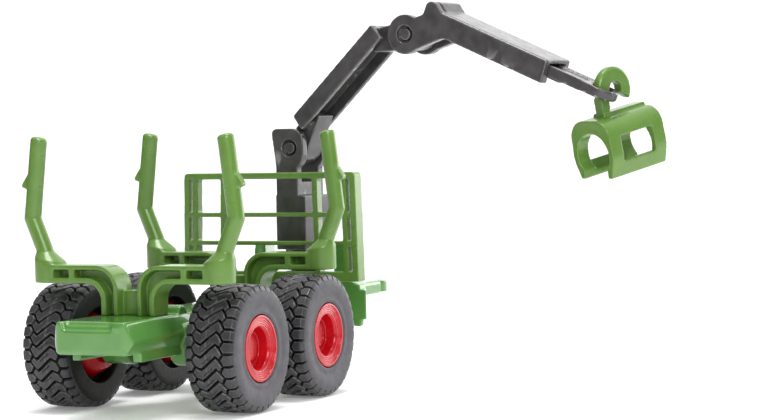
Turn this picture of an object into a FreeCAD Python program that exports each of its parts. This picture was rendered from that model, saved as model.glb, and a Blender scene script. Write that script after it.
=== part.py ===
import FreeCAD, Part
import math
import os

# Toy forestry trailer with a crane. Millimetres. +X is the trailer's right, +Y is forward
# towards the tractor, +Z is up. Pieces are drawn with the floor at Z = 0 and the rear axle
# at Y = 0, and are written out with the origin at the centre of the tow eye.
os.makedirs("parts", exist_ok=True)

# How far a cut runs past the face it opens, and how far a piece sinks into its neighbour
past = 1.0
sink = 0.1

# Wheels and axles
tyre_radius = 8.5
tyre_width = 7.4
tyre_outer_x = 16.1
tyre_shoulder = 1.1
tyre_side_slope = 0.9
tyre_mouth_radius = 5.1
tyre_mouth_depth = 1.6
rim_radius = 4.45
rim_inset = 0.15
rim_lip = 0.5
rim_step = 0.35
rim_cup_radius = 2.7
rim_cup_depth = 1.9
rim_cup_taper = 0.2
rim_boss_radius = 1.7
rim_boss_height = 0.5
hub_radius = 3.0
hub_cone_length = 2.3
wheelbase = 19.6
axle_radius = 0.8
axle_bite = 3.5
wheel_play = 0.4
bearing_clearance = 0.08

# Chassis casting
chassis_top = 13.1
chassis_bottom = 8.8
block_rear_y = -16.5
block_front_y = 6.0
block_half_width = 5.1
block_bulge = 0.85
block_waist_z = 10.4
block_corner = 1.6
block_edge = 0.35
recess_left_x = -4.0
recess_right_x = 3.1
recess_height = 1.1
recess_depth = 0.35
recess_flare = 0.35
rivet_x = 4.1
rivet_radius = 0.35
rivet_height = 0.15
bevel_height = 0.6
bevel_depth = 0.45
skirt_outer_x = 5.2
skirt_inner_x = 3.9
skirt_bottom = 7.7
skirt_rear_y = -12.6
rib_y = -1.5
rib_radius = 1.1
spine_half_width = 3.3
bearer_half_width = 7.4
bearer_inner_x = 3.3
bearer_radius = 2.5
bearer_length = 5.4
bearer_top = 11.5
seat_radius = 4.3
seat_top = 15.6
seat_edge = 0.4
seat_clearance = 0.3
drawbar_width = 4.0
drawbar_height = 2.2
drawbar_edge = 0.6
eye_y = 67.2
eye_z = 11.7
eye_radius = 2.0
eye_hole_radius = 1.1
eye_height = 1.8

# Outriggers beside the crane seat
outrigger_depth = 3.4
outrigger_taper = 1.7
foot_outer_x = 10.9
foot_inner_x = 8.1
foot_bottom = 8.65
foot_edge = 0.4
foot_top = 13.0
knee_bottom = 11.0
shoulder_x = 9.8
shoulder_top = 13.7
peg_outer_x = 10.0
peg_inner_x = 8.6
peg_bottom = 7.6
peg_depth = 1.0
upright_outer_x = 7.4
upright_inner_x = 5.9
upright_top = 20.0
upright_foot = 14.4

# Bunks and stakes
bunk_depth = 3.9
bunk_web = 0.9
bunk_flange = 0.6
bunk_under_flange = 0.75
rear_bunk_y = -5.3
front_bunk_y = 23.6
beam_clearance = 0.3
beam_height = 2.4
leg_inner_x = 1.5
leg_outer_x = 4.0
leg_top_bend = 3.2
leg_under_bend = 2.3
tie_drop = 0.9
rib_inner_x = 8.05
rib_outer_x = 8.95
pocket_web = 0.5
stake_x = 12.9
stake_base_radius = 2.1
stake_base_height = 0.6
stake_cone_height = 1.2
stake_radius = 1.12
stake_foot_x = 13.7
stake_base_tilt = 0.35
stake_tip = 0.35
wall_reach = 1.6
stake_bend_x = 15.5
stake_bend_height = 6.1
stake_top_x = 14.2
stake_height = 17.0
spur_rise = 9.9
spur_height = 3.0
spur_reach = 2.0
spur_width = 1.2
spur_tip = 0.35

# Headboard
gate_rear_y = 32.4
gate_depth = 2.3
gate_half_width = 13.95
gate_flare = 0.35
gate_bottom = 14.9
gate_top = 30.6
gate_corner = 0.6
gate_post = 0.9
gate_rail = 0.9
gate_sill = 1.4
bar_width = 0.8
bar_depth = 1.6
outer_bar_inset = 1.85
inner_bar_inset = 6.5
rung_depth = 1.2
rung_height = 0.6
upper_rung_z = 24.5
lower_rung_z = 20.4

# Crane. The pillar stands at the slew axis, and the arm points along +X of the crane's own frame.
slew_y = 43.5
slew_angle = -7.0
crane_width = 7.0
cheek_thickness = 1.4
cheek_clearance = 0.2
cheek_top = 2.9
cheek_back = 3.2
cheek_front = 2.4
cheek_edge = 0.8
cheek_nose = 1.9
cheek_slot = 5.0
column_back = 2.4
column_front = 1.3
column_foot = 24.0
block_half = 2.6
block_foot = 19.0
block_top = 27.0
pillar_radius = 2.8
spigot_radius = 2.0
lower_pin_z = 34.0
pin_radius = 0.85
pin_clearance = 0.06
pin_recess_radius = 1.27
pin_recess = 0.5
pin_inset = 0.15

# Boom, from the lower pin along its own length, with the knee pin at its far end
boom_angle = 42.8
boom_length = 25.95
knee_drop = 2.15
boom_eye = 2.3
boom_top = 2.9
boom_bottom = 0.35
boom_edge = 0.45
boom_wall = 0.8
boom_foot_gap = 3.5
boom_foot_slant = 0.3
boom_head_gap = 3.15
tongue_root = 3.0
tongue_top = 2.3

# Arm, from the knee pin along its own length
arm_angle = -23.4
arm_eye = 2.85
arm_length = 22.9
arm_top = 5.15
arm_bottom = 1.8
arm_bevel = 0.3
arm_neck_x = 6.1
arm_throat = 1.6
ridge_x = 2.7
ridge_z = 5.1
ridge_radius = 0.9
ridge_gap = 0.5
arm_web = 1.2

# Extension with the ring that carries the grab
slide_width = 4.4
slide_height = 1.55
slide_clearance = 0.15
slide_z = 3.6
slide_back = 18.0
rail_width = 0.9
rail_height = 0.25
ring_x = 30.7
ring_radius = 1.95
ring_half_width = 0.4
ring_half_height = 0.7
ring_edge = 0.3

# Grab: a hook on a shell that clips over one log
hook_turn = 71.0
hook_opening = 1.1
hook_outer = 3.15
hook_lift = 0.6
hook_offset = 0.15
hook_thickness = 1.5
hook_bevel = 0.35
hook_mouth = 1.5
shank_near = -3.1
shank_far = -1.7
clip_pitch = 12.0
clip_inner = 3.05
clip_shoulder = 3.7
clip_corner = 2.6
clip_waist = 3.95
clip_waist_z = -0.6
clip_lip = 3.05
clip_top = 4.85
clip_leg = 3.3
clip_length = 10.6
clip_drop = 8.15
clip_shift = -0.35
clip_grip = 42.0
clip_relief = 0.25
window_length = 6.2
window_bottom = -1.5
window_top = 2.3
window_side = 2.0
window_slope = 0.7
ridge_near = -0.9
ridge_far = 1.3
ridge_height = 0.45


def vec(x, y, z):
    return FreeCAD.Vector(x, y, z)


def box(x0, x1, y0, y1, z0, z1):
    return Part.makeBox(x1 - x0, y1 - y0, z1 - z0, vec(x0, y0, z0))


def outline(corners, y):
    """A face in x and z at y. A corner's third number rounds it to that radius."""
    points = [vec(corner[0], y, corner[1]) for corner in corners]
    edges = []
    starts = []
    ends = []
    for i, corner in enumerate(corners):
        here = points[i]
        if len(corner) < 3:
            starts.append(here)
            ends.append(here)
            continue
        back = (points[i - 1] - here).normalize()
        ahead = (points[(i + 1) % len(points)] - here).normalize()
        half_turn = back.getAngle(ahead) / 2
        cut = corner[2] / math.tan(half_turn)
        middle = (back + ahead).normalize() * (corner[2] / math.sin(half_turn) - corner[2])
        starts.append(here + back * cut)
        ends.append(here + ahead * cut)
        edges.append(Part.Arc(starts[i], here + middle, ends[i]).toShape())
    for i, start in enumerate(starts):
        edges.append(Part.makeLine(ends[i - 1], start))
    return Part.Face(Part.Wire(Part.__sortEdges__(edges)))


def plate(corners, y0, y1):
    return outline(corners, y0).extrude(vec(0, y1 - y0, 0))


def slab(corners, z0, z1):
    """The same with the outline in x and y, from z0 to z1."""
    shape = plate(corners, -z1, -z0)
    shape.rotate(vec(0, 0, 0), vec(1, 0, 0), -90)
    return shape


def prism(points, along):
    return Part.Face(Part.makePolygon(points + points[:1])).extrude(along)


def rod_y(x, z, radius, y0, y1):
    return Part.makeCylinder(radius, y1 - y0, vec(x, y0, z), vec(0, 1, 0))


def rod_x(y, z, radius, x0, x1):
    return Part.makeCylinder(radius, x1 - x0, vec(x0, y, z), vec(1, 0, 0))


def bar_between(p, q, radius):
    return Part.makeCylinder(radius, (q - p).Length, p, q - p)


def turned(points, y, z):
    """A ring turned about an axis along X from an outline of (x, radius) points."""
    wire = Part.makePolygon([vec(x, y, z + radius) for x, radius in points + points[:1]])
    return Part.Face(wire).revolve(vec(0, y, z), vec(1, 0, 0), 360)


def fuse(shapes):
    return shapes[0].multiFuse(shapes[1:]).removeSplitter()


def mirrored(shape):
    return shape.mirror(vec(0, 0, 0), vec(1, 0, 0))


def both(shapes):
    """Right-hand shapes and their left-hand copies."""
    return shapes + [mirrored(shape) for shape in shapes]


def write(name, shape):
    shape = shape.copy()
    shape.translate(vec(0, -eye_y, -eye_z))
    shape.exportStep("parts/" + name + ".step")


def swing(shape):
    """From the crane's own frame to the trailer."""
    shape = shape.copy()
    shape.rotate(vec(0, 0, 0), vec(0, 0, 1), slew_angle)
    shape.translate(vec(0, slew_y, 0))
    return shape


def tilted(shape, angle, x, z):
    """Raised by an angle about its own origin, then carried to x and z in the crane's frame."""
    shape = shape.copy()
    shape.rotate(vec(0, 0, 0), vec(0, 1, 0), -angle)
    shape.translate(vec(x, 0, z))
    return shape


# Wheels: a tyre and a rim on each end of a steel axle. The hub's cone reaches in to the bearing.
tyre_inner_x = tyre_outer_x - tyre_width
tyre_side = tyre_radius - tyre_shoulder
rim_outer_x = tyre_outer_x - rim_inset
cup_floor_x = rim_outer_x - rim_cup_depth
hub_end_x = bearer_half_width + wheel_play
axle_half = hub_end_x + axle_bite


def make_tyre(y):
    return turned([(tyre_inner_x, tyre_mouth_radius), (tyre_inner_x + tyre_mouth_depth, rim_radius),
                   (rim_outer_x - rim_inset, rim_radius), (tyre_outer_x, tyre_side),
                   (tyre_outer_x - tyre_side_slope, tyre_radius),
                   (tyre_inner_x + tyre_side_slope, tyre_radius), (tyre_inner_x, tyre_side)],
                  y, tyre_radius)


def make_rim(y):
    ring_x = rim_outer_x - rim_step
    ring_radius = rim_radius - rim_lip - rim_step
    return turned([(rim_outer_x, rim_radius), (rim_outer_x, rim_radius - rim_lip), (ring_x, ring_radius),
                   (ring_x, rim_cup_radius + rim_step), (ring_x - rim_step, rim_cup_radius),
                   (cup_floor_x, rim_cup_radius - rim_cup_taper), (cup_floor_x, rim_boss_radius),
                   (cup_floor_x + rim_boss_height, rim_boss_radius - rim_cup_taper),
                   (cup_floor_x + rim_boss_height, 0), (axle_half, 0), (axle_half, axle_radius),
                   (hub_end_x, axle_radius), (hub_end_x, hub_radius),
                   (hub_end_x + hub_cone_length, rim_radius)], y, tyre_radius)


for place, axle_y in (("rear", 0.0), ("front", wheelbase)):
    write("axle_" + place, rod_x(axle_y, tyre_radius, axle_radius, -axle_half, axle_half))
    for kind, shape in (("tyre", make_tyre(axle_y)), ("rim", make_rim(axle_y))):
        write(kind + "_" + place + "_right", shape)
        write(kind + "_" + place + "_left", mirrored(shape))

# Chassis: rear block, spine, axle bearers, crane seat and outriggers in one casting, with the
# drawbar as a piece of its own against the seat
waist = block_half_width + block_bulge
block_side = [(block_half_width, chassis_bottom, block_edge), (waist, block_waist_z, block_bulge),
              (block_half_width, chassis_top, block_edge)]
block = plate(block_side + [(-x, z, r) for x, z, r in reversed(block_side)], block_rear_y, block_front_y)
block = block.common(slab([(-waist, block_rear_y, block_corner), (waist, block_rear_y, block_corner),
                           (waist, block_front_y), (-waist, block_front_y)],
                          chassis_bottom - past, chassis_top + past))
recess_floor = chassis_top - recess_height
recess = [(recess_left_x - recess_flare, chassis_top + past), (recess_left_x - recess_flare, chassis_top),
          (recess_left_x, recess_floor, recess_flare), (recess_right_x, recess_floor, recess_flare),
          (recess_right_x + recess_flare, chassis_top), (recess_right_x + recess_flare, chassis_top + past)]
block = block.cut(plate(recess, block_rear_y - past, block_rear_y + recess_depth))
block = block.cut(box(recess_left_x + recess_flare, recess_right_x - recess_flare, block_rear_y - past,
                      block_rear_y + 2 * recess_depth, chassis_top - recess_height / 2, chassis_top + past))
block = block.cut(prism([vec(-waist - past, block_rear_y, chassis_bottom + bevel_height),
                         vec(-waist - past, block_rear_y + bevel_depth, chassis_bottom),
                         vec(-waist - past, block_rear_y, chassis_bottom)], vec(2 * (waist + past), 0, 0)))
rivet = rod_y(rivet_x, recess_floor + rivet_radius, rivet_radius, block_rear_y - rivet_height,
              block_rear_y + block_corner)
chassis = [block, rivet,
           box(-spine_half_width, spine_half_width, block_front_y - sink, slew_y, chassis_bottom,
               chassis_top),
           rod_x(rib_y, chassis_top, rib_radius, -block_half_width, block_half_width)]
chassis += both([box(skirt_inner_x, skirt_outer_x, skirt_rear_y, -bearer_radius, skirt_bottom,
                     chassis_bottom + block_edge)])
for axle_y in (0.0, wheelbase):
    chassis.append(box(-bearer_half_width, bearer_half_width, axle_y - bearer_length / 2,
                       axle_y + bearer_length / 2, chassis_bottom, bearer_top))
    chassis += both([rod_x(axle_y, tyre_radius, bearer_radius, bearer_inner_x, bearer_half_width)])
seat = Part.makeCylinder(seat_radius, seat_top - seat_edge - chassis_bottom, vec(0, slew_y, chassis_bottom))
seat_rim = Part.makeCone(seat_radius, seat_radius - seat_edge, seat_edge,
                         vec(0, slew_y, seat_top - seat_edge))
outrigger = [(seat_radius / 2, chassis_bottom + block_edge), (foot_inner_x, knee_bottom),
             (foot_inner_x, foot_bottom), (foot_outer_x, foot_bottom, foot_edge),
             (foot_outer_x, foot_top, foot_edge), (shoulder_x, foot_top), (shoulder_x, shoulder_top),
             (upright_outer_x + 2 * foot_edge, upright_foot, foot_edge), (upright_outer_x, upright_top),
             (upright_inner_x, upright_top), (upright_inner_x - foot_edge, upright_foot),
             (seat_radius / 2, chassis_top)]
peg = [(peg_inner_x, foot_bottom + sink), (peg_inner_x, peg_bottom, foot_edge),
       (peg_outer_x, peg_bottom, foot_edge), (peg_outer_x, foot_bottom + sink)]
outrigger_rear_y = slew_y - outrigger_depth / 2
outrigger_front_y = slew_y + outrigger_depth / 2
outrigger_plan = [(0, outrigger_rear_y), (foot_outer_x, outrigger_rear_y),
                  (foot_outer_x - outrigger_taper, outrigger_front_y), (0, outrigger_front_y)]
bar_z = eye_z - drawbar_height / 2
bar_half = drawbar_width / 2
drawbar = plate([(-bar_half, bar_z, drawbar_edge), (bar_half, bar_z, drawbar_edge),
                 (bar_half, bar_z + drawbar_height, drawbar_edge),
                 (-bar_half, bar_z + drawbar_height, drawbar_edge)], slew_y + seat_radius / 2,
                eye_y - eye_hole_radius - drawbar_edge)
eye = Part.makeCylinder(eye_radius, eye_height, vec(0, eye_y, eye_z - eye_height / 2))
eye_hole = Part.makeCylinder(eye_hole_radius, eye_height + drawbar_height,
                             vec(0, eye_y, eye_z - (eye_height + drawbar_height) / 2))
chassis += [seat, seat_rim]
leg = plate(outrigger, outrigger_rear_y, outrigger_front_y)
leg = leg.common(slab(outrigger_plan, peg_bottom, upright_top))
chassis += both([leg, plate(peg, outrigger_rear_y, outrigger_rear_y + peg_depth)])
casting = fuse(chassis)
for axle_y in (0.0, wheelbase):
    casting = casting.cut(rod_x(axle_y, tyre_radius, axle_radius + bearing_clearance,
                                -bearer_half_width - past, bearer_half_width + past))
casting = casting.cut(Part.makeCylinder(spigot_radius + pin_clearance, seat_top - chassis_bottom + 2 * past,
                                        vec(0, slew_y, chassis_bottom - past)))
write("chassis", casting)
write("drawbar", fuse([drawbar, eye]).cut(seat).cut(eye_hole))


# Bunks: two curved arms of I-section, tied between their legs, with a stake at each end. The beams
# clear the tyres, and the stakes' heights are measured from the beams' tops.
beam_bottom = 2 * tyre_radius + beam_clearance
beam_top = beam_bottom + beam_height
stake_base_top = beam_top + stake_base_height
stake_cone_top = stake_base_top + stake_cone_height
stake_bend_z = beam_top + stake_bend_height
stake_top_z = beam_top + stake_height
spur_bottom_z = beam_top + spur_rise


def stake_base(y):
    """A round boss whose top falls towards the beam, drawn in to the stake's foot above it."""
    boss = Part.makeCylinder(stake_base_radius, stake_cone_top - beam_bottom, vec(stake_x, y, beam_bottom))
    low = stake_base_top - stake_base_tilt
    high = stake_base_top + stake_base_tilt
    near = stake_x - stake_base_radius
    far = stake_x + stake_base_radius
    boss = boss.cut(prism([vec(near - past, y - stake_base_radius - past, low),
                           vec(near, y - stake_base_radius - past, low),
                           vec(far, y - stake_base_radius - past, high),
                           vec(far + past, y - stake_base_radius - past, high),
                           vec(far + past, y - stake_base_radius - past, stake_cone_top + past),
                           vec(near - past, y - stake_base_radius - past, stake_cone_top + past)],
                          vec(0, 2 * (stake_base_radius + past), 0)))
    rim = Part.Ellipse(vec(far, y, high), vec(stake_x, y + stake_base_radius, stake_base_top),
                       vec(stake_x, y, stake_base_top))
    neck = Part.Circle(vec(stake_foot_x, y, stake_cone_top), vec(0, 0, 1), stake_radius)
    cone = Part.makeLoft([Part.Wire(rim.toShape()), Part.Wire(neck.toShape())], True, True)
    return boss.fuse(cone)


def make_bunk(y):
    y0 = y - bunk_depth / 2
    y1 = y + bunk_depth / 2
    arm = plate([(leg_inner_x, chassis_top), (leg_inner_x, beam_top, leg_top_bend), (stake_x, beam_top),
                 (stake_x, beam_bottom), (leg_outer_x, beam_bottom, leg_under_bend),
                 (leg_outer_x, chassis_top)], y0, y1)
    inner = leg_inner_x + bunk_flange
    outer = leg_outer_x - bunk_under_flange
    upper = beam_top - bunk_flange
    lower = beam_bottom + bunk_under_flange
    channel = [(inner, chassis_top - past), (inner, upper, leg_top_bend - bunk_flange), (rib_inner_x, upper),
               (rib_inner_x, lower), (outer, lower, leg_under_bend + bunk_under_flange),
               (outer, chassis_top - past)]
    base_x = stake_x - wall_reach
    pocket = [(rib_outer_x, upper), (base_x, upper), (base_x, lower), (rib_outer_x, lower)]
    for outline, web in ((channel, bunk_web), (pocket, pocket_web)):
        arm = arm.cut(plate(outline, y0 - past, y - web / 2))
        arm = arm.cut(plate(outline, y + web / 2, y1 + past))
    foot = vec(stake_foot_x, y, stake_cone_top)
    bend = vec(stake_bend_x, y, stake_bend_z)
    tip = vec(stake_top_x, y, stake_top_z)
    lean = (stake_top_x - stake_bend_x) / (stake_top_z - stake_bend_z)
    spur_x = stake_bend_x + lean * (spur_bottom_z - stake_bend_z)
    spur = [(spur_x, spur_bottom_z), (spur_x + spur_reach, spur_bottom_z + spur_tip, spur_tip),
            (spur_x + lean * spur_height + stake_radius / 2, spur_bottom_z + spur_height),
            (spur_x + lean * spur_height, spur_bottom_z + spur_height)]
    stake = bar_between(bend, tip, stake_radius)
    rim = [edge for edge in stake.Edges if edge.BoundBox.ZMin > tip.z - stake_radius]
    pieces = [arm, stake_base(y), bar_between(foot, bend, stake_radius), Part.makeSphere(stake_radius, foot),
              Part.makeSphere(stake_radius, bend), stake.makeFillet(stake_tip, rim),
              plate(spur, y - spur_width / 2, y + spur_width / 2)]
    tie = box(-leg_inner_x - sink, leg_inner_x + sink, y - bunk_web / 2, y + bunk_web / 2, chassis_top,
              beam_bottom - tie_drop)
    return fuse(both(pieces) + [tie])


write("bunk_rear", make_bunk(rear_bunk_y))
write("bunk_front", make_bunk(front_bunk_y))

# Headboard: a frame with upright bars and rungs behind the crane, a little wider at its foot, on a
# foot plate
gate_front_y = gate_rear_y + gate_depth
gate_foot = gate_half_width + gate_flare
opening_top = gate_top - gate_rail
opening_bottom = gate_bottom + gate_sill


def gate_edge(z):
    return gate_foot - gate_flare * (z - gate_bottom) / (gate_top - gate_bottom)


def upright(inset, width, y0, y1):
    """A bar that leans as the frame's side does, an inset away from it."""
    corners = [(gate_edge(z) - inset + side * width / 2, z) for z, side in
               ((opening_bottom - sink, -1), (opening_bottom - sink, 1), (opening_top + sink, 1),
                (opening_top + sink, -1))]
    return plate(corners, y0, y1)


gate = plate([(-gate_foot, gate_bottom), (gate_foot, gate_bottom), (gate_half_width, gate_top, gate_corner),
              (-gate_half_width, gate_top, gate_corner)], gate_rear_y, gate_front_y)
low_half = gate_edge(opening_bottom) - gate_post
high_half = gate_edge(opening_top) - gate_post
gate = gate.cut(plate([(-low_half, opening_bottom), (low_half, opening_bottom), (high_half, opening_top),
                       (-high_half, opening_top)], gate_rear_y - past, gate_front_y + past))
gate = [gate, box(-spine_half_width, spine_half_width, gate_rear_y, gate_front_y, chassis_top,
                  gate_bottom + sink)]
for inset in (outer_bar_inset, inner_bar_inset):
    gate += both([upright(inset, bar_width, gate_rear_y, gate_rear_y + bar_depth)])
for rung_z in (upper_rung_z, lower_rung_z):
    rung_half = gate_edge(rung_z) - gate_post + sink
    gate.append(box(-rung_half, rung_half, gate_rear_y, gate_rear_y + rung_depth,
                    rung_z - rung_height / 2, rung_z + rung_height / 2))
write("headboard", fuse(gate))

# Crane pillar: two cheeks on a block that turns in the seat
half = crane_width / 2
inner = half - cheek_thickness
cheek = [(-cheek_back, lower_pin_z + cheek_top, cheek_edge),
         (cheek_front, lower_pin_z + cheek_top, cheek_nose),
         (cheek_front, lower_pin_z - cheek_nose, cheek_nose),
         (column_front, lower_pin_z - cheek_top), (column_front, column_foot), (-column_back, column_foot),
         (-column_back, lower_pin_z - cheek_top)]
neck_z = seat_top + seat_clearance
column = [plate(cheek, -half, half), box(-block_half, block_half, -half, half, block_foot, block_top),
          Part.makeCylinder(pillar_radius, block_foot - neck_z + sink, vec(0, 0, neck_z)),
          Part.makeCylinder(spigot_radius, neck_z - chassis_bottom + sink, vec(0, 0, chassis_bottom))]
pillar = fuse(column)
pillar = pillar.cut(box(-cheek_back - past, cheek_front + past, -inner, inner, lower_pin_z - cheek_slot,
                        lower_pin_z + cheek_top + past))


def pin_holes(shape, z):
    """A pin's bore across both walls, wider at the outside so that the pin's end lies in a recess."""
    shape = shape.cut(rod_y(0, z, pin_radius + pin_clearance, -half - past, half + past))
    for y0, y1 in ((-half - past, -half + pin_recess), (half - pin_recess, half + past)):
        shape = shape.cut(rod_y(0, z, pin_recess_radius, y0, y1))
    return shape


write("crane_pillar", swing(pin_holes(pillar, lower_pin_z)))

# Main boom: a channel open below, with a tongue and an eye with its pin at each end
tongue_half = inner - cheek_clearance
boom_start = boom_foot_gap
boom_end = boom_length - boom_head_gap
channel = plate([(boom_start + boom_foot_slant, boom_top, boom_edge), (boom_end, boom_top),
                 (boom_end, boom_bottom), (boom_start, boom_bottom, boom_edge / 2)], -half, half)
channel = channel.cut(box(boom_start + 2 * boom_wall, boom_end + past, -half + boom_wall, half - boom_wall,
                          boom_bottom - past, boom_top - boom_wall))
lower_tongue = [(0, boom_eye * 0.8), (boom_start + tongue_root - past, tongue_top),
                (boom_start + tongue_root, boom_bottom), (boom_eye / 2, -boom_eye * 0.8)]
upper_tongue = [(boom_end - tongue_root, tongue_top), (boom_end, tongue_top),
                (boom_length + boom_eye / 2, boom_eye * 0.8 - knee_drop),
                (boom_length - boom_eye / 2, -boom_eye * 0.8 - knee_drop),
                (boom_end - tongue_root, boom_bottom)]
boom = [channel, plate(lower_tongue, -tongue_half, tongue_half),
        plate(upper_tongue, -tongue_half, tongue_half)]
for pin_x, pin_z in ((0, 0), (boom_length, -knee_drop)):
    boom += [rod_y(pin_x, pin_z, boom_eye, -tongue_half, tongue_half),
             rod_y(pin_x, pin_z, pin_radius, -half + pin_inset, half - pin_inset)]
write("crane_boom", swing(tilted(fuse(boom), boom_angle, 0, lower_pin_z)))

# Outer arm: two ears round the knee and a box with bevelled top edges, under a cross ridge
rise = math.radians(boom_angle)
knee_x = boom_length * math.cos(rise) + knee_drop * math.sin(rise)
knee_z = lower_pin_z + boom_length * math.sin(rise) - knee_drop * math.cos(rise)
side = [(arm_eye * 0.2, arm_eye - sink), (ridge_x - ridge_radius, arm_eye + ridge_radius, ridge_radius / 2),
        (ridge_x - ridge_radius, ridge_z + ridge_radius, ridge_radius),
        (ridge_x + ridge_radius / 2, ridge_z + ridge_radius, ridge_radius / 2),
        (ridge_x + 2 * ridge_radius, arm_top), (arm_length, arm_top),
        (arm_length + arm_bevel, arm_bottom), (arm_neck_x, arm_bottom, arm_throat),
        (arm_eye * 0.8, -arm_eye * 0.55)]
arm = fuse([plate(side, -half, half), rod_y(0, 0, arm_eye, -half, half)])
gap = tongue_half + cheek_clearance
arm = arm.cut(box(-arm_eye - past, ridge_x - ridge_radius - sink, -gap, gap, -arm_eye - past, arm_top + past))
arm = arm.cut(rod_y(0, 0, arm_eye + cheek_clearance, -gap, gap))
arm = arm.cut(box(ridge_x - ridge_radius - past, arm_neck_x, -gap, gap, -arm_eye - past,
                  ridge_z - ridge_radius))
arm = arm.cut(box(ridge_x - past, ridge_x + 2 * ridge_radius, -half + arm_web, -half + arm_web + ridge_gap,
                  ridge_z - sink, ridge_z + ridge_radius + past))
for y in (-half, half):
    arm = arm.cut(prism([vec(ridge_x + 2 * ridge_radius, y, arm_top - arm_bevel),
                         vec(ridge_x + 2 * ridge_radius, y, arm_top + past),
                         vec(ridge_x + 2 * ridge_radius, y * (1 - arm_bevel / half), arm_top + past),
                         vec(ridge_x + 2 * ridge_radius, y * (1 - arm_bevel / half), arm_top)],
                        vec(arm_length, 0, 0)))
slot = slide_width / 2 + slide_clearance
slide_low = slide_z - slide_height / 2 - slide_clearance
slide_high = slide_z + slide_height / 2 + slide_clearance
arm = arm.cut(box(arm_neck_x, arm_length + past, -slot, slot, slide_low, slide_high))
arm = arm.cut(box(arm_neck_x, arm_length + past, -gap + arm_bevel, gap - arm_bevel,
                  arm_bottom - past, slide_low))
write("crane_arm", swing(tilted(pin_holes(arm, 0), arm_angle, knee_x, knee_z)))

# Extension: a bar with two rails that slides in the arm, and a ring at its tip
slide_half = slide_width / 2
slide_end = ring_x - ring_radius - ring_half_width
bar = box(ring_x - slide_back, slide_end, -slide_half, slide_half, slide_z - slide_height / 2,
          slide_z + slide_height / 2)
bar = bar.cut(box(ring_x - slide_back, slide_end, -slide_half + rail_width, slide_half - rail_width,
                  slide_z + slide_height / 2 - rail_height, slide_z + slide_height))
ring_section = [(ring_x + ring_radius + side * ring_half_width, slide_z + end * ring_half_height, ring_edge)
                for side, end in ((-1, -1), (1, -1), (1, 1), (-1, 1))]
loop = outline(ring_section, 0).revolve(vec(ring_x, 0, 0), vec(0, 0, 1), 360)
neck = box(slide_end - sink, ring_x, -slide_half, slide_half, slide_z - ring_half_height,
           slide_z + ring_half_height)
hole = Part.makeCylinder(ring_radius, slide_height + past, vec(ring_x, 0, slide_z - slide_height))
extension = fuse([bar, loop, neck.cut(hole)])
write("crane_extension", swing(tilted(extension, arm_angle, knee_x, knee_z)))

# Grab: a hook that hangs in the ring, on a shell that clips over one log. Drawn with the hook's
# opening at the origin and the log along X, then pitched and turned into the ring.
hook_half = hook_thickness / 2
disc = Part.makeCylinder(hook_outer, hook_thickness - 2 * hook_bevel, vec(0, -hook_half + hook_bevel, 0),
                         vec(0, 1, 0))
bevels = [Part.makeCone(hook_outer, hook_outer - hook_bevel, hook_bevel,
                        vec(0, y * (hook_half - hook_bevel), 0), vec(0, y, 0)) for y in (-1, 1)]
hook = fuse([disc] + bevels)
hook = hook.cut(rod_y(0, 0, hook_opening, -hook_half - past, hook_half + past))
reach = hook_outer + past
hook = hook.cut(plate([(0, 0), (reach, -reach * 0.7), (reach, -reach), (-hook_mouth, -reach),
                       (-hook_mouth, -hook_mouth / 4), (-hook_opening, 0)],
                      -hook_half - past, hook_half + past))
shell_z = -clip_drop
clip_half = clip_length / 2
window_half = window_length / 2
shell_side = [(-clip_lip, shell_z - clip_leg), (-clip_waist, shell_z + clip_waist_z, clip_waist),
              (-clip_shoulder, shell_z + clip_top, clip_corner)]
shell = plate(shell_side + [(-corner[0], *corner[1:]) for corner in reversed(shell_side)],
              -clip_half, clip_half)
shell.rotate(vec(0, 0, 0), vec(0, 0, 1), 90)
shell = shell.cut(rod_x(0, shell_z, clip_inner, -clip_half - past, clip_half + past))
shell = shell.cut(rod_x(0, shell_z, clip_inner + clip_relief, -window_half, window_half))
mouth = clip_inner * math.cos(math.radians(clip_grip))
shell = shell.cut(box(-clip_half - past, clip_half + past, -mouth, mouth, shell_z - clip_leg - past, shell_z))
sill = shell_z + window_bottom
lintel = shell_z + window_top
for side_y in (-1, 1):
    inner_y = side_y * window_side
    outer_y = side_y * (clip_waist + past)
    shell = shell.cut(prism([vec(-window_half, inner_y, sill + window_slope),
                             vec(-window_half, outer_y, sill), vec(-window_half, outer_y, lintel),
                             vec(-window_half, inner_y, lintel)], vec(window_length, 0, 0)))
shell.translate(vec(clip_shift, 0, 0))
crown_z = shell_z + clip_inner + clip_relief + sink
ridge = box(shank_near, clip_half + clip_shift, ridge_near, ridge_far, crown_z,
            shell_z + clip_top + ridge_height)
shank = box(shank_near, shank_far, -hook_half, hook_half, crown_z, -hook_mouth / 2)
grab = fuse([hook, shank, shell, ridge])
grab.rotate(vec(0, 0, 0), vec(0, 1, 0), -clip_pitch)
grab.rotate(vec(0, 0, 0), vec(0, 0, 1), hook_turn)
link = math.radians(hook_turn)
hook_radius = ring_radius + hook_offset
dip = math.radians(arm_angle)
link_x = ring_x + hook_radius * math.cos(link)
grab.translate(vec(knee_x + link_x * math.cos(dip) - slide_z * math.sin(dip), hook_radius * math.sin(link),
                   knee_z + link_x * math.sin(dip) + slide_z * math.cos(dip) + hook_lift))
write("grab", swing(grab))
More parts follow.
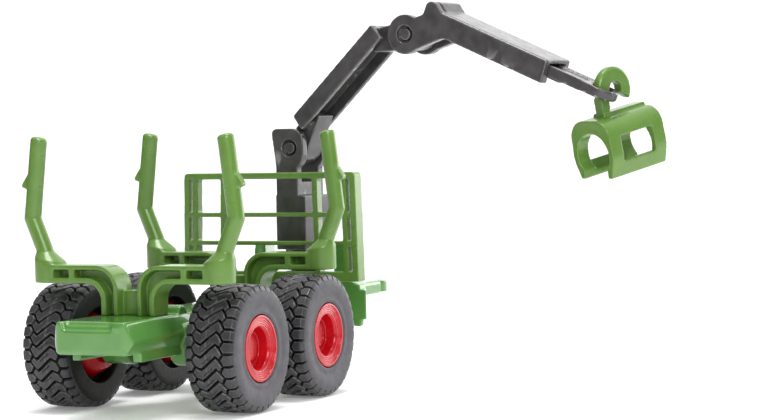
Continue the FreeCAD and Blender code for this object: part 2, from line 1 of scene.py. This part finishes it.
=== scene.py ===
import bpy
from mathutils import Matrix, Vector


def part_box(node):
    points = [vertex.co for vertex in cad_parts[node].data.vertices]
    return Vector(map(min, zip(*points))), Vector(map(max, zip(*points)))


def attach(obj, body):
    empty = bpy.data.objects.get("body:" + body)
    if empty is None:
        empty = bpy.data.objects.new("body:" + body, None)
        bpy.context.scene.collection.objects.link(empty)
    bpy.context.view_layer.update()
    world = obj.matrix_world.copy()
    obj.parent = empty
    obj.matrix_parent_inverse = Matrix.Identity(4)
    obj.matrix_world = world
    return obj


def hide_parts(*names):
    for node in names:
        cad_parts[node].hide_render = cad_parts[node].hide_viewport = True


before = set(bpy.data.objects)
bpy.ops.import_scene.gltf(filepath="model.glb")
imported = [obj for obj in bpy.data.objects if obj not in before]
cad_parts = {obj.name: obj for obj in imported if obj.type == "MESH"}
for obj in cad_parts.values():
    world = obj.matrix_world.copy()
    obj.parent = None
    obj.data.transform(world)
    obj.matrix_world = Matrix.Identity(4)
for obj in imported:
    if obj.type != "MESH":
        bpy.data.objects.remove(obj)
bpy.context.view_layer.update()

import math
import bmesh
import bpy
import numpy as np
from mathutils import Matrix

# Toy forestry trailer with a crane. Everything is in metres in the trailer's own frame. Lengths in
# the dictionaries are in millimetres, and are multiplied by mm where they are used, but the studio's
# are in metres.
mm = 0.001
bumpDepth = 0.04  # how deep a bump of full strength is
scene = bpy.context.scene


# a new object with smooth faces, and edges kept sharp where two faces meet at more than the angle
def smoothObject(name, mesh, angle):
    mesh.polygons.foreach_set("use_smooth", np.ones(len(mesh.polygons), bool))
    mesh.set_sharp_from_angle(angle=math.radians(angle))
    piece = bpy.data.objects.new(name, mesh)
    scene.collection.objects.link(piece)
    return piece


# a surface closed both ways round: point (i, j) is joined to (i+1, j), (i+1, j+1) and (i, j+1), and
# the faces are turned over if the volume they enclose comes out negative
def gridMesh(name, points):
    rows, columns = points.shape[:2]
    i, j = np.meshgrid(np.arange(rows), np.arange(columns), indexing="ij")
    nextI = (i + 1) % rows
    nextJ = (j + 1) % columns
    quads = np.stack([i * columns + j, nextI * columns + j, nextI * columns + nextJ, i * columns + nextJ], -1)
    quads = quads.reshape(-1, 4)
    flat = points.reshape(-1, 3)
    middle = flat.mean(0)
    a, b, c, d = (flat[quads[:, corner]] - middle for corner in range(4))
    volume = np.einsum("ij,ij->i", a, np.cross(b, c)).sum() + np.einsum("ij,ij->i", a, np.cross(c, d)).sum()
    if volume < 0:
        quads = quads[:, ::-1]
    mesh = bpy.data.meshes.new(name)
    mesh.vertices.add(len(flat))
    mesh.vertices.foreach_set("co", flat.astype(np.float32).ravel())
    mesh.loops.add(quads.size)
    mesh.loops.foreach_set("vertex_index", quads.astype(np.int32).ravel())
    mesh.polygons.add(len(quads))
    mesh.polygons.foreach_set("loop_start", np.arange(0, quads.size, 4, dtype=np.int32))
    mesh.update(calc_edges=True)
    return mesh


# points round a closed outline of (x, r, rounding) corners. Each corner becomes the curve
# p = (1-t)^2 a + 2t(1-t) corner + t^2 b between the points a and b its rounding away on either side.
def roundedLine(corners, steps):
    place = np.array([corner[:2] for corner in corners], float)
    cut = np.array([corner[2] for corner in corners], float)[:, None]
    before = np.roll(place, 1, 0) - place
    after = np.roll(place, -1, 0) - place
    a = place + before / np.linalg.norm(before, axis=1)[:, None] * cut
    b = place + after / np.linalg.norm(after, axis=1)[:, None] * cut
    t = np.linspace(0, 1, steps)[None, :, None]
    arcs = (1 - t) ** 2 * a[:, None] + 2 * t * (1 - t) * place[:, None] + t ** 2 * b[:, None]
    points = arcs.reshape(-1, 2)
    return points[np.linalg.norm(points - np.roll(points, 1, 0), axis=1) > 1e-6]


# 0 below 0, 1 above 1, and 3v^2 - 2v^3 between
def easeStep(value):
    value = np.clip(value, 0, 1)
    return value * value * (3 - 2 * value)


# a wheel's centre, and which way its outer face looks: +1 or -1 along X
def wheelPlace(name):
    low, high = (np.array(corner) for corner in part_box(name))
    return (low + high) / 2, 1.0 if low[0] > 0 else -1.0


# (x, r) at the angle a round the wheel's axis is (side x, side r cos a, r sin a), so that a left
# wheel is the right one turned half round, not its mirror image
def turnedAbout(x, r, angle, centre, side):
    return np.stack([side * x, side * r * np.cos(angle), r * np.sin(angle)], -1) * mm + centre


def newMaterial(name):
    material = bpy.data.materials.new(name)
    material.use_nodes = True
    material.node_tree.nodes.clear()
    return material, material.node_tree


# a node with its settings (names in lower case) and its sockets (names with a capital)
def addNode(tree, kind, **values):
    node = tree.nodes.new(kind)
    for key, value in values.items():
        if key[0].islower():
            setattr(node, key, value)
            continue
        socket = node.inputs[key.replace("_", " ")]
        if isinstance(value, bpy.types.NodeSocket):
            tree.links.new(value, socket)
        else:
            socket.default_value = value
    return node


# noise on the piece's own coordinates, with the scale in features per metre
def noise(tree, scale, detail=2.0, roughness=0.5):
    place = addNode(tree, "ShaderNodeTexCoord")
    node = addNode(tree, "ShaderNodeTexNoise", Vector=place.outputs["Object"], Scale=scale, Detail=detail,
                   Roughness=roughness)
    return node.outputs["Fac"]


# a value carried from one range to another, and held at its ends
def spread(tree, value, low, high, fromLow=0.3, fromHigh=0.7):
    node = addNode(tree, "ShaderNodeMapRange", Value=value)
    for index, number in ((1, fromLow), (2, fromHigh), (3, low), (4, high)):
        node.inputs[index].default_value = number
    return node.outputs["Result"]


def blendColours(tree, factor, first, second):
    node = addNode(tree, "ShaderNodeMix", data_type="RGBA")
    tree.links.new(factor, node.inputs[0])
    for index, colour in ((6, first), (7, second)):
        if isinstance(colour, bpy.types.NodeSocket):
            tree.links.new(colour, node.inputs[index])
        else:
            node.inputs[index].default_value = (*colour, 1)
    return node.outputs[2]


# the surface itself, with a bump from the height
def finish(tree, colour, roughness, height, strength, **shader):
    bump = addNode(tree, "ShaderNodeBump", Height=height, Strength=strength, Distance=bumpDepth * mm)
    surface = addNode(tree, "ShaderNodeBsdfPrincipled", Base_Color=colour, Roughness=roughness,
                      Normal=bump.outputs["Normal"], **shader)
    out = addNode(tree, "ShaderNodeOutputMaterial")
    tree.links.new(surface.outputs["BSDF"], out.inputs["Surface"])


# what the plastics and the paint share: how much finer the haze is than the mottle, and between
# which values of Pointiness a sharp edge turns pale with a painted highlight
plastic = dict(finerHaze=1.7, highlightFrom=0.52, highlightTo=0.585)


# moulded plastic or paint: two close tones in soft patches, with a haze in the gloss and a fine
# grain, and a painted highlight along its sharp edges if a colour is given for them
def mouldedPlastic(name, light, dark, roughLow, roughHigh, mottle, grain, bump, edges=None, **shader):
    material, tree = newMaterial(name)
    colour = blendColours(tree, spread(tree, noise(tree, mottle), 0.0, 1.0), light, dark)
    if edges:
        # painted highlight: sharp edges found by Pointiness turn to the pale edges colour, in place of gloss
        # on rounded edges
        curve = addNode(tree, "ShaderNodeNewGeometry").outputs["Pointiness"]
        edgeHighlight = spread(tree, curve, 0.0, 1.0, plastic["highlightFrom"], plastic["highlightTo"])
        colour = blendColours(tree, edgeHighlight, colour, edges)
    roughness = spread(tree, noise(tree, mottle * plastic["finerHaze"]), roughLow, roughHigh)
    finish(tree, colour, roughness, noise(tree, grain, detail=3.0, roughness=0.6), bump, **shader)
    return material


# how fine the rubber's patterns are, in features per metre, and what they do
rubber = dict(
    patches=500,
    specks=5200,
    speckFrom=0.66,        # the noise's values over which a speck comes up
    speckTo=0.76,
    # noise that breaks up the painted highlight along the grooves
    highlightBreakup=1500,
    leastHighlight=0.35,       # the least share of the painted edge highlight that shows
    haze=1600,
    # painted shade in the tread's grooves
    paintedGrooveShade=(0.006, 0.006, 0.007),
)


# rubber: two close tones with specks of dust, painted shade in the grooves and a painted highlight
# along their edges and the seam, where the tyre's own groove and highlight values say so
def mouldedRubber(name, light, dark, dustAndHighlight, dusty, roughLow, roughHigh, grain, bump):
    material, tree = newMaterial(name)
    patches = noise(tree, rubber["patches"], detail=3.0, roughness=0.55)
    colour = blendColours(tree, spread(tree, patches, 0.0, 1.0), light, dark)
    specks = spread(tree, noise(tree, rubber["specks"]), 0.0, dusty, rubber["speckFrom"], rubber["speckTo"])
    colour = blendColours(tree, specks, colour, dustAndHighlight)
    # painted highlight along the groove edges and the seam, broken up by noise, in the dust colour
    paintedHighlight = addNode(tree, "ShaderNodeAttribute", attribute_name="paintedHighlight")
    highlightBreakup = noise(tree, rubber["highlightBreakup"], detail=3.0, roughness=0.6)
    patchy = addNode(tree, "ShaderNodeMath", operation="MULTIPLY")
    tree.links.new(paintedHighlight.outputs["Fac"], patchy.inputs[0])
    tree.links.new(spread(tree, highlightBreakup, rubber["leastHighlight"], 1.0), patchy.inputs[1])
    colour = blendColours(tree, patchy.outputs[0], colour, dustAndHighlight)
    # painted shade in the grooves
    groove = addNode(tree, "ShaderNodeAttribute", attribute_name="groove")
    colour = blendColours(tree, groove.outputs["Fac"], colour, rubber["paintedGrooveShade"])
    roughness = spread(tree, noise(tree, rubber["haze"], detail=4.0, roughness=0.6), roughLow, roughHigh)
    finish(tree, colour, roughness, noise(tree, grain, detail=3.0, roughness=0.6), bump)
    return material


bunkGreen = mouldedPlastic(
    "green_plastic", light=(0.145, 0.265, 0.06), dark=(0.125, 0.235, 0.048), roughLow=0.27, roughHigh=0.34,
    mottle=300, grain=900, bump=0.01, Coat_Weight=0.25, Coat_Roughness=0.1)
chassisGreen = mouldedPlastic(
    "chassis_paint", light=(0.12, 0.29, 0.075), dark=(0.105, 0.265, 0.064), roughLow=0.17, roughHigh=0.23,
    mottle=300, grain=900, bump=0.01, Coat_Weight=0.7, Coat_Roughness=0.05)
# the crane's pale edges colour is a painted highlight along its sharp edges
craneBlack = mouldedPlastic(
    "black_plastic", light=(0.1, 0.095, 0.098), dark=(0.062, 0.058, 0.06), roughLow=0.28, roughHigh=0.4,
    mottle=500, grain=900, bump=0.02, edges=(0.3, 0.29, 0.295), Specular_IOR_Level=0.4, Coat_Weight=0.4,
    Coat_Roughness=0.1)
rimRed = mouldedPlastic(
    "rim_plastic", light=(0.52, 0.006, 0.016), dark=(0.44, 0.003, 0.01), roughLow=0.16, roughHigh=0.28,
    mottle=400, grain=3000, bump=0.1, Coat_Weight=0.2, Coat_Roughness=0.3)
axleSteel = mouldedPlastic(
    "axle_steel", light=(0.6, 0.6, 0.6), dark=(0.48, 0.48, 0.47), roughLow=0.22, roughHigh=0.4, mottle=900,
    grain=9000, bump=0.2, Metallic=1.0)
treadRubber = mouldedRubber(
    "tyre_tread", light=(0.062, 0.062, 0.066), dark=(0.038, 0.038, 0.041), dustAndHighlight=(0.33, 0.32, 0.31),
    dusty=0.3, roughLow=0.28, roughHigh=0.42, grain=9000, bump=0.15)
sideRubber = mouldedRubber(
    "tyre_sidewall", light=(0.105, 0.102, 0.112), dark=(0.08, 0.077, 0.086), dustAndHighlight=(0.3, 0.29, 0.27),
    dusty=0.5, roughLow=0.5, roughHigh=0.66, grain=12000, bump=0.4)
# the tyres' inner side: a near-black copy of the sidewall's rubber, painted shade
shadedInnerRubber = mouldedRubber(
    "tyre_inner_side", light=(0.012, 0.012, 0.012), dark=(0.007, 0.007, 0.007), dustAndHighlight=(0.05, 0.05, 0.05),
    dusty=0.2, roughLow=0.45, roughHigh=0.6, grain=9000, bump=0.3)
print("materials made")


tyre = dict(
    halfWidth=3.7,
    pitches=32,            # how often the tread's pattern comes round the tyre
    stepsPerPitch=15,
    treadColumns=50,
    treadHalf=3.05,        # half the width of the tread
    crown=8.45,
    crownDrop=0.1,         # how much lower the tread is at its edges
    grooveHalf=0.1,
    grooveWall=0.1,
    grooveDepth=0.5,
    sipeHalf=0.04,
    sipeWall=0.07,
    sipeDepth=0.16,
    edgeBand=0.13,         # the band of painted highlight along a groove
    seamAcross=0.47,       # the mould's parting line
    seamHalf=0.07,
    seamHeight=0.05,
    fadeFrom=7.95,         # radii between which the grooves run out on the shoulder
    fadeTo=7.5,
    sideFrom=7.62,         # radius below which the side's own rubber shows
    pointGap=0.25,         # between points on the long runs off the tread
    sharpAngle=50,         # edges that turn by more than this, in degrees, stay sharp
)

# Lines of one pitch of the tread: w is across, from 0 inside to 1 outside, and s is along, in pitches.
tyre["grooves"] = [
    [(0.0, 0.5), (0.18, 0.5)],
    [(0.18, 0.5), (0.243, 1.0), (0.18, 1.5)],
    [(0.243, 0.0), (0.36, -0.3), (0.66, 0.78), (0.73, 0.48)],
    [(0.80, -0.02), (0.73, 0.48), (0.80, 0.98)],
    [(0.80, -0.02), (1.0, -0.02)],
]
tyre["sipes"] = [[(0.40, 0.24), (0.58, 0.86)]]


# the distance in mm from each (s, w) to the nearest of the lines, which come round every pitch
def lineDistance(s, w, lines, pitch, width):
    nearest = np.full(s.shape, np.inf)
    for line in lines:
        for (w0, s0), (w1, s1) in zip(line[:-1], line[1:]):
            for turn in (-2, -1, 0, 1, 2):
                alongX, alongY = (w1 - w0) * width, (s1 - s0) * pitch
                fromX, fromY = (w - w0) * width, (s - s0 - turn) * pitch
                t = np.clip((fromX * alongX + fromY * alongY) / (alongX ** 2 + alongY ** 2), 0, 1)
                nearest = np.minimum(nearest, np.hypot(fromX - t * alongX, fromY - t * alongY))
    return nearest


# the tyre's section, from its outer bead over the tread to its inner mouth. The tread is
# r = crown - drop |x / half|^3, and long runs elsewhere get points every pointGap.
def tyreProfile():
    half = tyre["halfWidth"]
    edge = tyre["treadHalf"]
    across = np.linspace(edge, -edge, tyre["treadColumns"])
    tread = np.stack([across, tyre["crown"] - tyre["crownDrop"] * np.abs(across / edge) ** 3], -1)
    corners = [(half - 0.6, 4.45, 0.02), (half - 0.28, 4.5, 0.1), (half - 0.1, 4.8, 0.16),
               (half - 0.2, 5.35, 0.3), (half, 6.5, 0.5), (half - 0.04, 7.35, 0.45), (edge + 0.22, 8.3, 0.2),
               (-edge - 0.22, 8.3, 0.2), (-half + 0.04, 7.35, 0.45), (-half, 6.5, 0.4), (-half, 5.1, 0.15),
               (-half + 1.6, 5.1, 0.05), (-half + 1.6, 4.45, 0.02)]
    ring = roundedLine(corners, steps=4)
    ahead = np.roll(ring, -1, 0)
    count = np.maximum(1, np.ceil(np.linalg.norm(ahead - ring, axis=1) / tyre["pointGap"]).astype(int))
    overTread = (ring[:, 0] >= edge) & (ahead[:, 0] <= -edge)
    count[overTread] = 1
    runs = [start + (end - start) * (np.arange(number) / number)[:, None]
            for start, end, number in zip(ring, ahead, count)]
    cut = int(np.flatnonzero(overTread)[0])
    return np.concatenate(runs[:cut + 1] + [tread] + runs[cut + 1:])


# The section is carried round the axle, and pushed in along its own normal by the depth of the
# grooves, which is 0 outside a line's width, the full depth inside it, and eased between.
def makeTyre(name, body):
    centre, side = wheelPlace(name)
    profile = tyreProfile()
    columns = len(profile)
    tangent = np.roll(profile, -1, 0) - np.roll(profile, 1, 0)
    normal = np.stack([tangent[:, 1], -tangent[:, 0]], -1)
    normal /= np.linalg.norm(normal, axis=1)[:, None]
    rows = tyre["pitches"] * tyre["stepsPerPitch"]
    width = 2 * tyre["halfWidth"]
    pitch = 2 * np.pi * tyre["crown"] / tyre["pitches"]
    s = np.arange(tyre["stepsPerPitch"])[:, None] / tyre["stepsPerPitch"] * np.ones(columns)
    w = np.ones((tyre["stepsPerPitch"], 1)) * (profile[:, 0] + tyre["halfWidth"]) / width
    away = lineDistance(s, w, tyre["grooves"], pitch, width)
    groove = easeStep((tyre["grooveHalf"] + tyre["grooveWall"] - away) / tyre["grooveWall"])
    sipeAway = lineDistance(s, w, tyre["sipes"], pitch, width)
    sipe = easeStep((tyre["sipeHalf"] + tyre["sipeWall"] - sipeAway) / tyre["sipeWall"])
    runOut = easeStep((profile[:, 1] - tyre["fadeTo"]) / (tyre["fadeFrom"] - tyre["fadeTo"]))
    seam = easeStep(1 - np.abs(w - tyre["seamAcross"]) * width / tyre["seamHalf"])
    depth = np.maximum(groove * tyre["grooveDepth"], sipe * tyre["sipeDepth"]) * runOut
    depth = depth - seam * tyre["seamHeight"] * runOut * (1 - groove)
    # the painted highlight: a band along each groove's edge, and along the seam
    edgeFrom = tyre["grooveHalf"] + tyre["grooveWall"] / 2
    paintedHighlight = np.clip(1 - np.abs(away - edgeFrom - tyre["edgeBand"] / 2) / (tyre["edgeBand"] / 2), 0, 1) * runOut
    paintedHighlight = np.maximum(paintedHighlight, seam * runOut * (1 - groove))
    points = profile - np.tile(depth, (tyre["pitches"], 1))[..., None] * normal
    angle = -np.arange(rows)[:, None] / rows * 2 * np.pi
    shape = turnedAbout(points[..., 0], points[..., 1], angle, centre, side)
    piece = smoothObject(name + "_moulded", gridMesh(name, shape), tyre["sharpAngle"])
    # the grooves' painted shade and the painted highlight go to the material as point values
    for label, value in (("groove", groove * runOut), ("paintedHighlight", paintedHighlight)):
        store = piece.data.attributes.new(label, "FLOAT", "POINT")
        store.data.foreach_set("value", np.tile(value, (tyre["pitches"], 1)).astype(np.float32).ravel())
    for material in (treadRubber, sideRubber, shadedInnerRubber):
        piece.data.materials.append(material)
    middle = (profile + np.roll(profile, -1, 0)) / 2
    # faces on the inner side, towards the trailer, take the near-black rubber: painted shade
    onSide = np.where(middle[:, 1] < tyre["sideFrom"], np.where(middle[:, 0] > 0, 1, 2), 0)
    piece.data.polygons.foreach_set("material_index", np.tile(onSide, rows).astype(np.int32))
    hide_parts(name)
    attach(piece, body)


# The rim's section: a rounded lip, four shallow rings that step in, a deep cup and a ringed boss
# outside, and the axle's socket and the hub's cone inside.
rim = dict(
    steps=100,
    sharpAngle=40,
    section=[(3.2, 4.4, 0.02), (3.48, 4.38, 0.1), (3.5, 4.02, 0.06), (3.36, 3.96, 0.03), (3.4, 3.78, 0.06),
             (3.3, 3.72, 0.03), (3.34, 3.54, 0.06), (3.24, 3.48, 0.03), (3.3, 3.28, 0.06), (3.2, 3.22, 0.03),
             (3.24, 2.98, 0.12), (2.9, 2.72, 0.12), (1.65, 2.5, 0.14), (1.65, 1.7, 0.08),
             (1.92, 1.58, 0.04), (1.92, 1.46, 0.03), (1.8, 1.42, 0.03), (1.8, 0.0, 0.0),
             (-1.1, 0.0, 0.0), (-1.1, 0.8, 0.02), (-4.6, 0.8, 0.02), (-4.6, 3.0, 0.12), (-2.3, 4.4, 0.05)],
)


def makeRim(name, body):
    centre, side = wheelPlace(name.replace("rim", "tyre"))
    profile = roundedLine(rim["section"], steps=5)
    angle = np.arange(rim["steps"])[:, None] / rim["steps"] * 2 * np.pi
    x, r = profile.T[:, None] + 0 * angle
    mesh = gridMesh(name, turnedAbout(x, r, angle, centre, side))
    work = bmesh.new()
    work.from_mesh(mesh)
    bmesh.ops.remove_doubles(work, verts=work.verts, dist=1e-7)  # closes the poles on the axis
    work.to_mesh(mesh)
    work.free()
    piece = smoothObject(name + "_moulded", mesh, rim["sharpAngle"])
    piece.data.materials.append(rimRed)
    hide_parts(name)
    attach(piece, body)


for place in ("rear", "front"):
    for hand in ("right", "left"):
        makeTyre("tyre_" + place + "_" + hand, "wheels_" + place)
        makeRim("rim_" + place + "_" + hand, "wheels_" + place)
    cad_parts["axle_" + place].data.materials.clear()
    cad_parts["axle_" + place].data.materials.append(axleSteel)
print("wheels made")


# Each piece's surface and body, the size of the cells it is cast again in, how many times it is
# smoothed, and the number of triangles it keeps.
chassisPaint = dict(material=chassisGreen, slotName="chassis_paint")
bunkPlastic = dict(material=bunkGreen, slotName="green_plastic")
cranePlastic = dict(material=craneBlack, slotName="black_plastic")
moulds = dict(
    chassis=dict(chassisPaint, body="trailer", cell=0.16, passes=4, triangles=48000),
    drawbar=dict(chassisPaint, body="trailer", cell=0.12, passes=4, triangles=9000),
    bunk_rear=dict(bunkPlastic, body="trailer", cell=0.12, passes=6, triangles=36000),
    bunk_front=dict(bunkPlastic, body="trailer", cell=0.12, passes=6, triangles=36000),
    headboard=dict(bunkPlastic, body="trailer", cell=0.11, passes=4, triangles=31000),
    crane_pillar=dict(cranePlastic, body="pillar", cell=0.12, passes=5, triangles=30000),
    crane_boom=dict(cranePlastic, body="boom", cell=0.12, passes=4, triangles=45000),
    crane_arm=dict(cranePlastic, body="arm", cell=0.12, passes=4, triangles=45000),
    crane_extension=dict(cranePlastic, body="extension", cell=0.09, passes=12, triangles=20000),
    grab=dict(bunkPlastic, body="grab", cell=0.11, passes=8, triangles=36000),
)

# the round end of a stake, whose middle is found from the points within cap of its top
tip = dict(radius=1.6, drop=0.75, reach=1.9, cap=0.25)


# The top of each stake becomes a dome: a point at the distance d from the middle of the tip goes down
# by drop (1 - sqrt(1 - (d / radius)^2)), which fades out over the reach below the tip.
def roundTips(mesh):
    points = np.empty(len(mesh.vertices) * 3, np.float32)
    mesh.vertices.foreach_get("co", points)
    points = points.reshape(-1, 3).astype(float)
    for hand in (1, -1):
        own = points[:, 0] * hand > 0
        top = points[own, 2].max()
        cap = own & (points[:, 2] > top - tip["cap"] * mm)
        middle = points[cap, :2].mean(0)
        away = np.clip(np.linalg.norm(points[:, :2] - middle, axis=1) / (tip["radius"] * mm), 0, 1)
        fade = easeStep((points[:, 2] - top + tip["reach"] * mm) / (tip["reach"] * mm)) * own
        points[:, 2] -= fade * tip["drop"] * mm * (1 - np.sqrt(1 - away ** 2))
    mesh.vertices.foreach_set("co", points.astype(np.float32).ravel())


# a mesh with the object's modifiers applied
def appliedMesh(holder):
    bpy.context.view_layer.update()
    return bpy.data.meshes.new_from_object(holder.evaluated_get(bpy.context.evaluated_depsgraph_get()))


# The piece's own solid cast again in even cells, then each point moved halfway to the middle of its
# neighbours a few times, which rounds every edge as a mould does, and thinned where it is flat.
def soften(node, body, material, slotName, cell, passes, triangles):
    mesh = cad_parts[node].data.copy()
    work = bmesh.new()
    work.from_mesh(mesh)
    bmesh.ops.remove_doubles(work, verts=work.verts, dist=1e-6)
    work.to_mesh(mesh)
    work.free()
    holder = bpy.data.objects.new(node + "_rough", mesh)
    scene.collection.objects.link(holder)
    cast = holder.modifiers.new("cast", "REMESH")
    cast.mode = "VOXEL"
    cast.voxel_size = cell * mm
    smooth = holder.modifiers.new("smooth", "SMOOTH")
    smooth.factor = 0.5
    smooth.iterations = passes
    dense = appliedMesh(holder)
    if node.startswith("bunk"):
        roundTips(dense)
    holder.modifiers.clear()
    holder.data = dense
    thin = holder.modifiers.new("thin", "DECIMATE")
    thin.ratio = min(1.0, triangles / (2 * len(dense.polygons)))  # the cast is all quads
    finished = appliedMesh(holder)
    bpy.data.objects.remove(holder)
    finished.materials.clear()
    finished.materials.append(material)
    piece = smoothObject(node + "_moulded", finished, 180)  # no edge stays sharp
    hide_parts(node)
    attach(piece, body)


for node, settings in moulds.items():
    soften(node, **settings)
    print(node, "softened")
print("moulded pieces made")


studio = dict(
    floorReach=0.6,
    floorTones=((0.87, 0.87, 0.875), (0.9, 0.9, 0.903)),
    floorGlow=0.17,        # keeps the paper white to its edge
    white=1.05,            # what shows behind the trailer
    sky=0.1,               # how bright the room is level with the trailer
    skyTop=0.7,            # what is added overhead
    backdrop=1.6,          # and ahead of the trailer
    key=dict(place=(0.30, -0.42, 0.26), size=0.25, power=1.1),
    top=dict(place=(0.03, -0.06, 0.55), size=0.22, power=1.6),
    side=dict(place=(0.42, 0.62, 0.12), size=0.4, power=1.2),
    aim=(0.0, -0.045, 0.01),
)

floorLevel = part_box("tyre_rear_right")[0][2]
reach = studio["floorReach"]
floorMesh = bpy.data.meshes.new("floor")
floorMesh.from_pydata([(-reach, -reach, floorLevel), (reach, -reach, floorLevel), (reach, reach, floorLevel),
                       (-reach, reach, floorLevel)], [], [(0, 1, 2, 3)])
floor = bpy.data.objects.new("floor", floorMesh)
scene.collection.objects.link(floor)
paper, paperTree = newMaterial("floor_paper")
paperTone = blendColours(paperTree, noise(paperTree, 30), *studio["floorTones"])
finish(paperTree, paperTone, roughness=0.85, height=noise(paperTree, 900), strength=0.02,
       Emission_Color=(1, 1, 1, 1), Emission_Strength=studio["floorGlow"])
floorMesh.materials.append(paper)

# The room's light from the direction (x, y, z) is sky + skyTop z^2 + backdrop y^2, without the last
# where y is negative, and what shows behind the trailer is plain white.
world = bpy.data.worlds.new("studio")
world.use_nodes = True
worldTree = world.node_tree
worldTree.nodes.clear()
way = addNode(worldTree, "ShaderNodeSeparateXYZ",
              Vector=addNode(worldTree, "ShaderNodeTexCoord").outputs["Generated"])


def worldMath(operation, *values):
    node = addNode(worldTree, "ShaderNodeMath", operation=operation)
    for socket, value in zip(node.inputs, values):
        if isinstance(value, bpy.types.NodeSocket):
            worldTree.links.new(value, socket)
        else:
            socket.default_value = value
    return node.outputs[0]


ahead = worldMath("MAXIMUM", way.outputs["Y"], 0.0)
overhead = worldMath("MULTIPLY", way.outputs["Z"], way.outputs["Z"])
strength = worldMath("MULTIPLY_ADD", overhead, studio["skyTop"], studio["sky"])
strength = worldMath("MULTIPLY_ADD", worldMath("MULTIPLY", ahead, ahead), studio["backdrop"], strength)
room = addNode(worldTree, "ShaderNodeBackground", Strength=strength, Color=(1, 1, 1, 1))
white = addNode(worldTree, "ShaderNodeBackground", Strength=studio["white"], Color=(1, 1, 1, 1))
seen = addNode(worldTree, "ShaderNodeLightPath")
choice = addNode(worldTree, "ShaderNodeMixShader", Fac=seen.outputs["Is Camera Ray"])
worldTree.links.new(room.outputs[0], choice.inputs[1])
worldTree.links.new(white.outputs[0], choice.inputs[2])
worldOut = addNode(worldTree, "ShaderNodeOutputWorld")
worldTree.links.new(choice.outputs[0], worldOut.inputs["Surface"])
scene.world = world


# a square lamp that looks at the trailer
def softbox(name, place, size, power):
    lamp = bpy.data.lights.new(name, "AREA")
    lamp.size = size
    lamp.energy = power
    holder = bpy.data.objects.new(name, lamp)
    scene.collection.objects.link(holder)
    holder.location = place
    x, y, z = np.array(studio["aim"]) - np.array(place)
    holder.rotation_euler = (math.atan2(math.hypot(x, y), -z), 0, math.atan2(y, x) - math.pi / 2)


for name in ("key", "top", "side"):
    softbox(name, **studio[name])

# the camera's place, how far it is turned from +Y and tipped down, and its roll, in degrees
camera = dict(place=(167.264, -347.032, 26.872), azimuth=25.56, down=2.22, roll=-1.26, lens=115.72)
cameraData = bpy.data.cameras.new("camera")
cameraData.lens = camera["lens"]
cameraData.sensor_width = 36
cameraData.clip_start = 0.01
cameraData.clip_end = 50
cameraObject = bpy.data.objects.new("camera", cameraData)
scene.collection.objects.link(cameraObject)
cameraObject.location = [value * mm for value in camera["place"]]
cameraObject.rotation_euler = (Matrix.Rotation(math.radians(camera["azimuth"]), 3, "Z")
                               @ Matrix.Rotation(math.radians(90 - camera["down"]), 3, "X")
                               @ Matrix.Rotation(math.radians(camera["roll"]), 3, "Z")).to_euler()
scene.camera = cameraObject
scene.view_settings.view_transform = "Standard"
scene.view_settings.look = "Medium High Contrast"
print("stage made")
